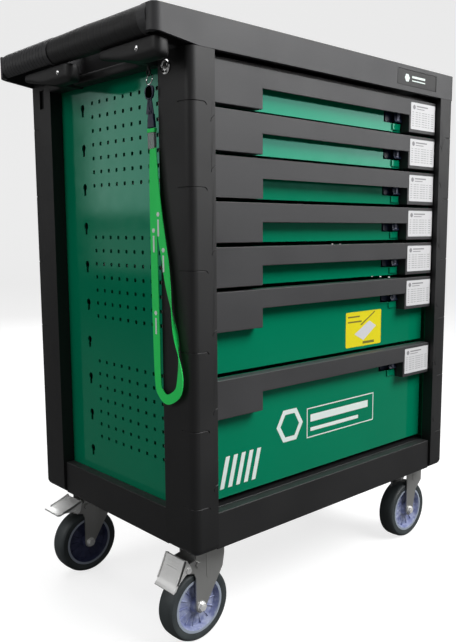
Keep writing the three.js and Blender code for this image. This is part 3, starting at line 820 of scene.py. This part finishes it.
def add_handle():
    """Grip, softened brackets with their screws, and the eye for the key ring."""
    steps = 240
    bm = bmesh.new()
    rings = []
    for i in range(steps + 1):
        y = GRIP_FROM + 0.3 + (GRIP_TO - GRIP_FROM - 0.6) * i / steps
        share = grip_radius(y)
        rings.append([
            bm.verts.new((
                GRIP_X + GRIP_HALF[0] * share * c, y, GRIP_Z + GRIP_HALF[1] * share * s,
            ))
            for c, s in circle(0, 0, 1, 40)
        ])
    close_sides(bm, rings)
    bm.faces.new(rings[0])
    bm.faces.new(rings[-1])
    grip = piece("side_grip", bm, BLACK_PLASTIC, "cabinet")
    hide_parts("handle_grip")
    for end in ("front", "rear"):
        soften(dress(f"handle_bracket_{end}", BLACK_PLASTIC, 3.0, 2))
    loop = [(-7, 92 + 4.5 * math.cos(t), 930 + 4.5 * math.sin(t)) for t in full_turn(24)]
    stalk = box(-8.3, -5.7, 90, 94, 934, 946)
    eye = merged([tube(loop, 1.4, 8, True), stalk])
    piece("lanyard_eye", eye, BLACK_PLASTIC, "cabinet", 0.4)
    screws = [screw_head("x", y, 952, -52, -1, 4.5) for y in (57, 290)]
    piece("bracket_screws", merged(screws), CHROME, "cabinet")


# ------------ drawers

LABEL = (564.0, 648.0)
LABEL_HEIGHT = 52.0
WINDOW = (504.0, 590.0)  # x range of a latch window


def label_marks(top):
    """Rows of short dashes, a line of heading and a small disc."""
    y0, y1 = FASCIA_Y - 0.45, FASCIA_Y - 0.35
    shapes = [prism(circle(575, top - 15, 4.5, 16), "y", y0, y1)]
    shapes.append(box(583, 622, y0, y1, top - 14, top - 11.5))
    shapes.append(box(583, 610, y0, y1, top - 18.5, top - 17))
    for row in range(7):
        for column in range(7):
            x = 569 + column * 10.9
            z = top - 24 - row * 4.4
            length = 5 + (row * 5 + column * 3) % 5
            shapes.append(box(x, x + length, y0, y1, z - 1, z))
    return merged(shapes)


def add_latch_shade_box(number, top):
    """Dark box behind the latch window, painted shade for the hollow inside the drawer's front,
    and the green striker block in front of it.
    """
    body = f"drawer_{number}"
    depth = SHEET_Y + 16
    wall = 1.0
    left, right = WINDOW
    # The navy walls close off the hollow behind the window; their dark colour is painted shade.
    shell = [
        box(left, right, depth, depth + wall, top - 62, top - 20),
        box(left, right, SHEET_Y + 2.1, depth + wall, top - 20, top - 19),
        box(right, right + wall, SHEET_Y + 2.1, depth + wall, top - 62, top - 19),
        box(left - wall, left, SHEET_Y + 2.1, depth + wall, top - 48, top - 19),
    ]
    piece(f"latch_shade_box_{number}", merged(shell), NAVY_PLASTIC, body)
    striker = box(530, 555, SHEET_Y - 2.5, SHEET_Y - 0.05, top - 61, top - 48.5)
    piece(f"latch_striker_{number}", striker, GREEN_PAINT, body, 0.8)


def add_latch(number, top):
    """Dark lever with a curled lip and a bright rib, on a neck and a slider plate."""
    body = f"latch_{number}"
    side = [
        (30.5, top - 25), (28, top - 25), (28, top - 40), (25.6, top - 45.2), (27.4, top - 46),
        (30.5, top - 41),
    ]
    lever = piece(f"latch_lever_{number}", prism(side, "x", 533, 555), NAVY_PLASTIC, body,
                  0.5)
    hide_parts(f"drawer_{number}_latch")
    rib = box(541, 548, 26.4, 28.2, top - 43, top - 26)
    piece(f"latch_rib_{number}", rib, LATCH_STEEL, body, 0.6)
    slider = [
        box(540, 548, 30.6, 37, top - 42, top - 29),
        prism(rounded(514, 574, top - 46, top - 24, 4), "y", 36.5, 40),
    ]
    piece(f"latch_slider_{number}", merged(slider), NAVY_PLASTIC, body, 0.3)


def add_drawers():
    for number, top in enumerate(DRAWER_TOPS, start=1):
        body = f"drawer_{number}"
        dress(f"drawer_{number}_tray", GREEN_PAINT, 0.4, 1)
        dress(f"drawer_{number}_fascia", GREY_PLASTIC, 1.1, 3)
        add_latch(number, top)
        paper = prism(
            rounded(*LABEL, top - 6 - LABEL_HEIGHT, top - 6, 2.0, 3),
            "y", FASCIA_Y - 0.35, FASCIA_Y - 0.02,
        )
        piece(f"label_{number}", paper, LABEL_PAPER, body)
        piece(f"label_print_{number}", label_marks(top), LABEL_INK, body)
        add_latch_shade_box(number, top)
    add_sticker()
    add_front_print()


def add_sticker():
    """Yellow square on drawer 6, with plain lines and a pale patch."""
    y = SHEET_Y
    sheet = prism(rounded(398, 508, 463, 532, 3), "y", y - 0.3, y - 0.02)
    piece("sticker", sheet, STICKER, "drawer_6")
    lines = [
        box(404, 440, y - 0.4, y - 0.3, 521, 524),
        box(404, 446, y - 0.4, y - 0.3, 511, 514),
        box(450, 486, y - 0.4, y - 0.3, 467, 472),
        prism([(444, 504), (488, 528), (486, 530), (442, 506)], "y", y - 0.4, y - 0.3),
    ]
    piece("sticker_lines", merged(lines), STICKER_INK, "drawer_6")
    patch = prism([(424, 488), (470, 512), (492, 500), (452, 474)], "y", y - 0.4, y - 0.3)
    piece("sticker_patch", patch, LABEL_PAPER, "drawer_6")


def frame_lines(x0, x1, z0, z1, width, y0, y1):
    return [
        box(x0, x1, y0, y1, z0, z0 + width),
        box(x0, x1, y0, y1, z1 - width, z1),
        box(x0, x0 + width, y0, y1, z0 + width, z1 - width),
        box(x1 - width, x1, y0, y1, z0 + width, z1 - width),
    ]


def hexagon_side(x, z, outer, inner, corner, y0, y1):
    """One side of a hexagonal ring, from one corner to the next."""
    outside = circle(x, z, outer, 6)
    inside = circle(x, z, inner, 6)
    following = (corner + 1) % 6
    outline = [outside[corner], outside[following], inside[following], inside[corner]]
    return prism(outline, "y", y0, y1)


def add_front_print():
    """Plain white print on the lowest drawer: a hexagon, a framed bar and slanted stripes."""
    y0, y1 = SHEET_Y - 0.12, SHEET_Y - 0.01
    ring = frame_lines(290, 488, 306, 363, 2, y0, y1)
    bars = [
        box(300, 470, y0, y1, 336, 350),
        box(300, 440, y0, y1, 318, 325),
    ]
    hexagon = [hexagon_side(245, 340, 34, 24, corner, y0, y1) for corner in range(6)]
    stripes = [
        prism([(x, 260), (x + 9, 260), (x + 23, 314), (x + 14, 314)], "y", y0, y1)
        for x in (78, 96, 114, 132, 150)
    ]
    piece(
        "drawer_print", merged(ring + bars + hexagon + stripes), WHITE_INK,
        "drawer_7",
    )


# ------------ casters

TYRE_HALF = 18.5
FORK_FACE = 22.5  # outer faces of the fork legs, either side of the wheel's middle
RIB_COUNT = 14


def tyre_profile():
    r, w = WHEEL_RADIUS, TYRE_HALF
    inner = HUB_RADIUS + 0.3
    half = [(inner, w - 2.2), (r - 9, w), (r - 5, w - 0.6), (r - 2.2, w - 3), (r - 0.6, w - 7)]
    return half + [(r, 0.0)] + [(radius, -along) for radius, along in reversed(half)]


def hub_profile():
    w = TYRE_HALF - 2.0
    half = [
        (4.6, 18.9), (11.5, 18.9), (13.0, 17.5), (14.0, 9.0), (HUB_RADIUS - 8, 7.0),
        (HUB_RADIUS - 5, w - 2), (HUB_RADIUS - 3.5, w), (HUB_RADIUS, w),
    ]
    return half + [(radius, -along) for radius, along in reversed(half)]


def hub_ribs(x, y):
    """Radial ribs on both faces of the hub."""
    shapes = []
    for i in range(RIB_COUNT):
        angle = 360.0 * i / RIB_COUNT
        for side in (-1, 1):
            face = sorted((side * 6.0, side * 9.2))
            rib = box(x + 13, x + HUB_RADIUS - 5, y + face[0], y + face[1],
                      AXLE_Z - 0.9, AXLE_Z + 0.9)
            shapes.append(moved(rib, turn_about_y(angle, x, AXLE_Z)))
    return merged(shapes)


def add_wheel(corner, x, y):
    """Tyre, hub with its ribs, and a pale rim on each face."""
    body = f"wheel_{corner}"
    # The rear left wheel takes the darker copy of the hub plastic, as painted shade.
    plastic = SHADED_HUB if corner == "rear_left" else HUB
    tyre = piece(f"tyre_{corner}_turned", turned(tyre_profile(), x, y, AXLE_Z),
                 TYRE, body)
    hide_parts(f"tyre_{corner}")
    hub = piece(f"hub_{corner}_turned", turned(hub_profile(), x, y, AXLE_Z),
                plastic, body)
    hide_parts(f"hub_{corner}")
    piece(f"hub_ribs_{corner}", hub_ribs(x, y), plastic, body, 0.5, 1)
    edge = TYRE_HALF - 2.0
    rims = []
    for low, high in ((edge + 0.05, edge + 0.8), (-edge - 0.8, -edge - 0.05)):
        profile = ring_profile(HUB_RADIUS - 3.2, HUB_RADIUS + 1.2, low, high)
        rims.append(turned(profile, x, y, AXLE_Z))
    piece(f"hub_rim_{corner}", merged(rims), HUB_RING, body, 0.2, 1)


def add_axle_hardware(corner, x, y, body):
    """Washers, hexagon bolt head and nut on the outer faces of the fork."""
    layers = [(9.0, 32, 0.1, 1.3), (7.4, 6, 1.4, 5.5), (4.0, 20, 5.4, 6.0)]
    shapes = []
    for side in (-1, 1):
        for radius, sides, low, high in layers:
            span = sorted((y + side * (FORK_FACE + low), y + side * (FORK_FACE + high)))
            shapes.append(prism(circle(x, AXLE_Z, radius, sides), "y", *span))
    shaft = FORK_FACE + 0.2
    shapes.append(prism(circle(x, AXLE_Z, 4.0, 20), "y", y - shaft, y + shaft))
    axle = piece(f"axle_{corner}_bolt", merged(shapes), BRIGHT_ZINC, body, 0.4)
    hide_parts(f"axle_{corner}")


def leg_rib(x, y, side, top_z, foot_z, half):
    """Shallow pressed rib down the outer face of a fork leg."""
    outline = arc(x, foot_z, half, 180, 360, 8) + arc(x, top_z, half, 0, 180, 8)
    return prism(outline, "y", *sorted((y + side * 22.4, y + side * 23.3)))


def add_plate_bolts(corner, y, x_places):
    """Hexagon heads of the four bolts that hold a caster's plate."""
    bolts = [
        prism(circle(x, y + side * 30, 6.5, 6), "z", 164.5, 169.1)
        for x in x_places for side in (-1, 1)
    ]
    piece(f"plate_bolts_{corner}", merged(bolts), BRIGHT_ZINC, "cabinet", 0.4)


PEDAL_PIVOT = (SWIVEL_X - 56.0, 134.0)
PEDAL_HALF = 26.0
PEDAL_TRAVEL = 45.0


def tread_section():
    """Side view of the pedal's tread about its pivot: a slope and a curled lip."""
    upper = [(-4, 18), (-8, 18.5), (-17, -2), (-24, -16), (-28.5, -24.5), (-33, -28.5)]
    under = [(-31.5, -31), (-26, -27.5), (-21, -18), (-13.5, -4)]
    return upper + under


def pedal_parts():
    """Tread with raised side walls, ribs across its upper part, sleeve, shoe and pin."""
    half = PEDAL_HALF
    side = [(5, -5), (5.5, 4), (-3, 18), (-9, 20.5), (-18.5, -1), (-27.5, -19), (-22, -19),
            (-6, -6)]
    walls = [prism(side, "y", low, low + 2) for low in (-half, half - 2)]
    ribs = []
    for i in range(4):
        height = 15.5 - i * 4.2
        reach = -8.6 - i * 1.9
        ribs.append(tube([(reach, -16, height), (reach, 16, height)], 0.8))
    sleeve = prism(circle(0, 0, 6, 32), "y", -13, 13)
    shoe = prism([(0, -5), (0, 5), (-13, 4), (-15, -4)], "y", -12.5, 12.5)
    pin = prism(circle(0, 0, 3, 20), "y", -half - 0.8, half + 0.8)
    heads = [prism(circle(0, 0, 5, 24), "y", low, low + 1.6) for low in (-half - 1.9, half + 0.3)]
    return merged([prism(tread_section(), "y", -half, half), sleeve, shoe, pin]
                  + walls + ribs + heads)


def add_swivel_caster(corner, y, pedal_lift):
    """Swivel caster with its wheel trailing to the left, and a brake pedal."""
    swivel = f"swivel_{corner}"
    wheel_x = SWIVEL_X - 27
    add_wheel(corner, wheel_x, y)
    add_axle_hardware(corner, wheel_x, y, swivel)
    dress(f"fork_{corner}", ZINC, 0.6)
    dress(f"caster_plate_{corner}", ZINC, 0.5)
    ribs = [leg_rib(wheel_x + 16, y, side, 150, 112, 5) for side in (-1, 1)]
    ribs += [
        prism(circle(SWIVEL_X - 34, 137, 5.5, 6), "y", *sorted((y + s * 22.6, y + s * 26)))
        for s in (-1, 1)
    ]
    piece(f"fork_ribs_{corner}", merged(ribs), ZINC, swivel, 0.4)
    add_plate_bolts(corner, y, (SWIVEL_X - 36, SWIVEL_X + 36))
    there = Matrix.Translation((PEDAL_PIVOT[0], y, PEDAL_PIVOT[1]))
    lift = Matrix.Rotation(math.radians(pedal_lift), 4, "Y")
    pedal = piece(
        f"pedal_{corner}_pressed_steel", moved(pedal_parts(), there @ lift),
        BRIGHT_ZINC, f"pedal_{corner}", 0.5,
    )
    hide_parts(f"brake_pedal_{corner}")


def add_fixed_caster(corner, x, y):
    add_wheel(corner, x, y)
    add_axle_hardware(corner, x, y, "cabinet")
    dress(f"fork_{corner}", ZINC, 0.6)
    ribs = [leg_rib(x + 14, y, side, 150, 130, 5) for side in (-1, 1)]
    piece(f"fork_ribs_{corner}", merged(ribs), ZINC, "cabinet", 0.4)
    add_plate_bolts(corner, y, (x - 40, x + 28))


# ------------ lock and lanyard


def add_lock():
    """Lock cylinder with a rounded rim and a set-back face; the key slot and the gap round the
    plug are painted shade.
    """
    y, z = LOCK
    rim = [
        (0.01, -1.2), (6.4, -1.2), (7.0, -2.6), (8.6, -3.2), (10.6, -2.7), (11.5, -1.4),
        (11.5, -0.35), (9.8, -0.3), (9.8, 27), (0.01, 27),
    ]
    barrel = turned_about_x(rim, y, z)
    cam = box(26.5, 29.5, y - 4, y + 4, z - 17, z + 5)
    lock = piece("lock_barrel", merged([barrel, cam]), CHROME, "lock_cylinder")
    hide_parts("lock_cylinder")
    # Key slot and plug gap are thin dark sheets standing on the face, not cuts: painted shade for
    # the hollows.
    slot = [
        box(-1.5, -1.22, y - 0.9, y + 0.9, z - 4.6, z + 4.6),
        turned_about_x(ring_profile(5.4, 6.2, -1.6, -1.22), y, z),
    ]
    piece("lock_slot_painted_shade", merged(slot), BLACK_STEEL, "lock_cylinder")


def ribbon(path, half_thickness=0.6):
    """Flat tape along a path of (x, y, z, half width, twist in degrees)."""
    bm = bmesh.new()
    rings = []
    count = len(path)
    for i, (x, y, z, half, twist) in enumerate(path):
        before, after = Vector(path[max(i - 1, 0)][:3]), Vector(path[min(i + 1, count - 1)][:3])
        along = (after - before).normalized()
        out = Vector((1, 0, 0))
        flat = along.cross(out).normalized()
        out = flat.cross(along).normalized()
        turn = Matrix.Rotation(math.radians(twist), 3, along)
        flat, out = turn @ flat, turn @ out
        middle = Vector((x, y, z))
        rings.append([
            bm.verts.new(middle + flat * (half * a) + out * (half_thickness * b))
            for a, b in ((-1, -1), (1, -1), (1, 1), (-1, 1))
        ])
    close_sides(bm, rings)
    bm.faces.new(rings[0])
    bm.faces.new(rings[-1])
    return bm


def smooth_path(points, steps=8):
    """Catmull-Rom curve through the given points."""
    result = []
    for i in range(len(points) - 1):
        p = [points[max(0, min(len(points) - 1, i + k))] for k in (-1, 0, 1, 2)]
        for s in range(steps):
            t = s / steps
            weights = (
                (-t + 2 * t * t - t ** 3) / 2, (2 - 5 * t * t + 3 * t ** 3) / 2,
                (t + 4 * t * t - 3 * t ** 3) / 2, (-t * t + t ** 3) / 2,
            )
            result.append(tuple(
                sum(w * point[k] for w, point in zip(weights, p)) for k in range(len(points[0]))
            ))
    result.append(points[-1])
    return result


# Middle line of the strap: x, y, z, half its width, and its twist in degrees.
STRAP_LOOP = [
    (-7, 84, 816, 8, 0), (-7.5, 79, 760, 9, 0), (-8, 70, 705, 9, 0), (-8, 58, 650, 8.5, 0),
    (-8, 50, 605, 8, 10), (-7, 42, 560, 7, 45), (-6.5, 34, 527, 6.5, 70), (-7, 28, 500, 7, 40),
    (-8, 22.5, 468, 8, 10), (-8, 27, 443, 8, 0), (-7.5, 42, 430, 8, 0), (-7, 60, 424, 8, 0),
    (-6, 76, 431, 8, 0), (-5.5, 84, 448, 8, 0), (-5.5, 86, 520, 9, 0), (-5.5, 88, 640, 9, 0),
    (-5.5, 88, 760, 9, 0), (-5.8, 86, 812, 8, 0),
]


def key_shape(y, z, turn):
    """Key with a rounded bow and a short blade, hanging down."""
    bow = prism(rounded(-10, 10, -14, 6, 7), "x", -1.6, 1.6)
    blade = box(-0.9, 0.9, -3.6, 3.6, -38, -13)
    spin = Matrix.Translation((-6, y, z)) @ Matrix.Rotation(math.radians(turn), 4, "X")
    return moved(merged([bow, blade]), spin)


def add_lanyard():
    """Strap, key ring with two keys, snap hook, buckle and clear sleeve."""
    body = "lanyard"
    strap = piece("strap_loop", ribbon(smooth_path(STRAP_LOOP)), STRAP, body)
    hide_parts("lanyard")
    ring_path = [(-5.5 + 1.5 * math.sin(t), 92 + 7.5 * math.cos(t), 920 + 8 * math.sin(t))
                 for t in full_turn(40)]
    piece("key_ring", tube(ring_path, 0.8, 8, True), CHROME, body)
    keys = merged([key_shape(90, 905, 12), key_shape(94, 904, -14)])
    piece("keys", keys, NAVY_PLASTIC, body, 0.6)
    hook_path = [(-6, 90 + 4 * math.sin(t), 880 + 8 * math.cos(t)) for t in full_turn(28)]
    swivel = prism(circle(-6, 88, 3, 16), "z", 866, 873)
    piece("snap_hook", merged([tube(hook_path, 1.5, 8, True), swivel]), NAVY_PLASTIC, body)
    buckle = prism([(82, 868), (94, 868), (96, 856), (97, 847), (79, 847), (80, 856)],
                   "x", -8.5, -3.5)
    piece("buckle", buckle, NAVY_PLASTIC, body, 1.0)
    band = box(-8.8, -3.2, 78, 97, 840, 846)
    piece("strap_band", band, STRAP, body, 0.6)
    sleeve = box(-8.4, -3.6, 79, 96, 815, 840)
    piece("clear_sleeve", sleeve, CLEAR_SLEEVE, body, 0.6)
    core = [box(-6.8, -5.2, 81 + i * 4.2, 83 + i * 4.2, 816, 840) for i in range(4)]
    piece("sleeve_core", merged(core), NAVY_PLASTIC, body, 0.2)
    add_strap_marks(body)


def add_strap_marks(body):
    """Small white marks printed on the strap: a hexagon over a thin bar."""
    marks = []
    for y, z, x in ((72, 715, -9), (60, 660, -9), (86, 560, -6.6), (88, 690, -6.6)):
        marks.append(prism(circle(y, z, 4, 6), "x", x, x + 0.3))
        marks.append(box(x, x + 0.3, y - 2, y + 2, z - 34, z - 8))
    piece("strap_marks", merged(marks), WHITE_INK, body)


# ------------ camera, floor and light

CAMERA_AT = (-1.0155, -1.1202, 0.6971)
CAMERA_YAW = 43.82
CAMERA_PITCH = 7.60
CAMERA_LENS = 41.23
CAMERA_SHIFT = (-0.0577, 0.0084)


def add_camera():
    data = bpy.data.cameras.new("camera")
    data.lens = CAMERA_LENS
    data.sensor_width = 36.0
    data.shift_x, data.shift_y = CAMERA_SHIFT
    data.clip_end = 100.0
    camera = bpy.data.objects.new("camera", data)
    SCENE.collection.objects.link(camera)
    camera.location = CAMERA_AT
    camera.rotation_euler = (
        math.radians(90 - CAMERA_PITCH), 0, math.radians(-CAMERA_YAW)
    )
    SCENE.camera = camera


def area_light(name, place, target, size, power):
    data = bpy.data.lights.new(name, "AREA")
    data.shape = "RECTANGLE"
    data.size, data.size_y = size
    data.energy = power
    light = bpy.data.objects.new(name, data)
    SCENE.collection.objects.link(light)
    light.location = place
    aim = Vector(target) - Vector(place)
    light.rotation_euler = aim.to_track_quat("-Z", "Y").to_euler()
    return light


def backdrop_finish():
    """Almost white where the camera sees it, dim for the light it sends back to the cart."""
    shader = Shader("backdrop")
    shader.set(Base_Color=(0.32, 0.32, 0.32, 1.0), Roughness=0.9, Emission_Strength=0.76)
    shader.set(Emission_Color=(1.0, 1.0, 1.0, 1.0))
    dim = shader.node("ShaderNodeBsdfDiffuse")
    dim.inputs["Color"].default_value = (0.14, 0.14, 0.14, 1.0)
    choice = shader.node("ShaderNodeMixShader")
    seen = shader.node("ShaderNodeLightPath").outputs["Is Camera Ray"]
    shader.link(seen, choice.inputs[0])
    shader.link(dim.outputs["BSDF"], choice.inputs[1])
    shader.link(shader.surface.outputs["BSDF"], choice.inputs[2])
    shader.link(choice.outputs["Shader"], shader.tree.nodes["Material Output"].inputs["Surface"])
    return shader.material


def add_stage():
    """A floor that sweeps up into a wall, square to the camera."""
    sweep = [math.pi / 2 * i / 12 for i in range(13)]
    profile = [(-30, 0), (8, 0)] + [(8 + 4 * math.sin(t), 4 - 4 * math.cos(t)) for t in sweep]
    profile.append((12, 30))
    mesh = bpy.data.meshes.new("backdrop")
    facing = Matrix.Rotation(math.radians(-CAMERA_YAW), 4, "Z")
    vertices = [facing @ Vector((x, y, z)) for y, z in profile for x in (-40, 40)]
    faces = [(2 * i, 2 * i + 1, 2 * i + 3, 2 * i + 2) for i in range(len(profile) - 1)]
    mesh.from_pydata([tuple(v) for v in vertices], [], faces)
    mesh.shade_smooth()
    mesh.materials.append(backdrop_finish())
    backdrop = bpy.data.objects.new("backdrop", mesh)
    SCENE.collection.objects.link(backdrop)


def reflection_card(name, near, far, low, high, strength):
    """Upright glowing card between two floor points, seen only in glossy reflections."""
    shader = Shader(name)
    shader.set(Base_Color=(0.0, 0.0, 0.0, 1.0), Emission_Strength=strength)
    shader.set(Emission_Color=(1.0, 1.0, 1.0, 1.0))
    mesh = bpy.data.meshes.new(name)
    corners = [(*near, low), (*far, low), (*far, high), (*near, high)]
    mesh.from_pydata(corners, [], [(0, 1, 2, 3)])
    mesh.materials.append(shader.material)
    card = bpy.data.objects.new(name, mesh)
    SCENE.collection.objects.link(card)
    card.visible_camera = False
    card.visible_diffuse = False
    card.visible_shadow = False


def add_light():
    """Even studio light: a pale world, four soft lights and three reflection cards."""
    world = bpy.data.worlds.new("studio")
    world.use_nodes = True
    nodes, links = world.node_tree.nodes, world.node_tree.links
    background = nodes["Background"]
    background.inputs["Color"].default_value = (1.0, 1.0, 1.0, 1.0)
    strength = nodes.new("ShaderNodeMapRange")
    strength.inputs["To Min"].default_value = 0.24
    strength.inputs["To Max"].default_value = 0.88  # where the camera looks past the backdrop
    links.new(nodes.new("ShaderNodeLightPath").outputs["Is Camera Ray"], strength.inputs["Value"])
    links.new(strength.outputs["Result"], background.inputs["Strength"])
    SCENE.world = world
    SCENE.view_settings.view_transform = "Standard"
    area_light("front_soft_light", (1.0, -2.5, 2.9), (0.0, 0.0, 0.9), (2.4, 1.6), 150)
    area_light("side_soft_light", (-3.4, 0.6, 2.4), (0.0, 0.0, 0.5), (2.0, 1.6), 34)
    area_light("top_soft_light", (0.0, 0.5, 3.4), (0.0, 0.0, 0.8), (3.0, 3.0), 70)
    area_light("back_soft_light", (1.6, 3.4, 2.2), (0.0, 0.0, 0.5), (2.4, 1.6), 45)
    reflection_card("front_card", (0.6, -3.6), (4.2, -1.8), 1.07, 2.6, 4.2)
    reflection_card("side_card", (-2.33, 1.6), (-2.33, 3.49), 0.80, 1.61, 1.5)
    reflection_card("low_side_card", (-2.33, 1.6), (-2.33, 3.49), 0.42, 0.68, 0.5)


add_bumpers()
add_case()
add_worktop()
add_handle()
add_drawers()
for caster_corner, caster_y, lift in (
    ("front_left", SWIVEL_INSET, 0), ("rear_left", DEPTH - SWIVEL_INSET, PEDAL_TRAVEL),
):
    add_swivel_caster(caster_corner, caster_y, lift)
for caster_corner, caster_y in (
    ("front_right", FIXED_INSET), ("rear_right", DEPTH - FIXED_INSET),
):
    add_fixed_caster(caster_corner, FIXED_X, caster_y)
add_lock()
add_lanyard()
add_camera()
add_stage()
add_light()
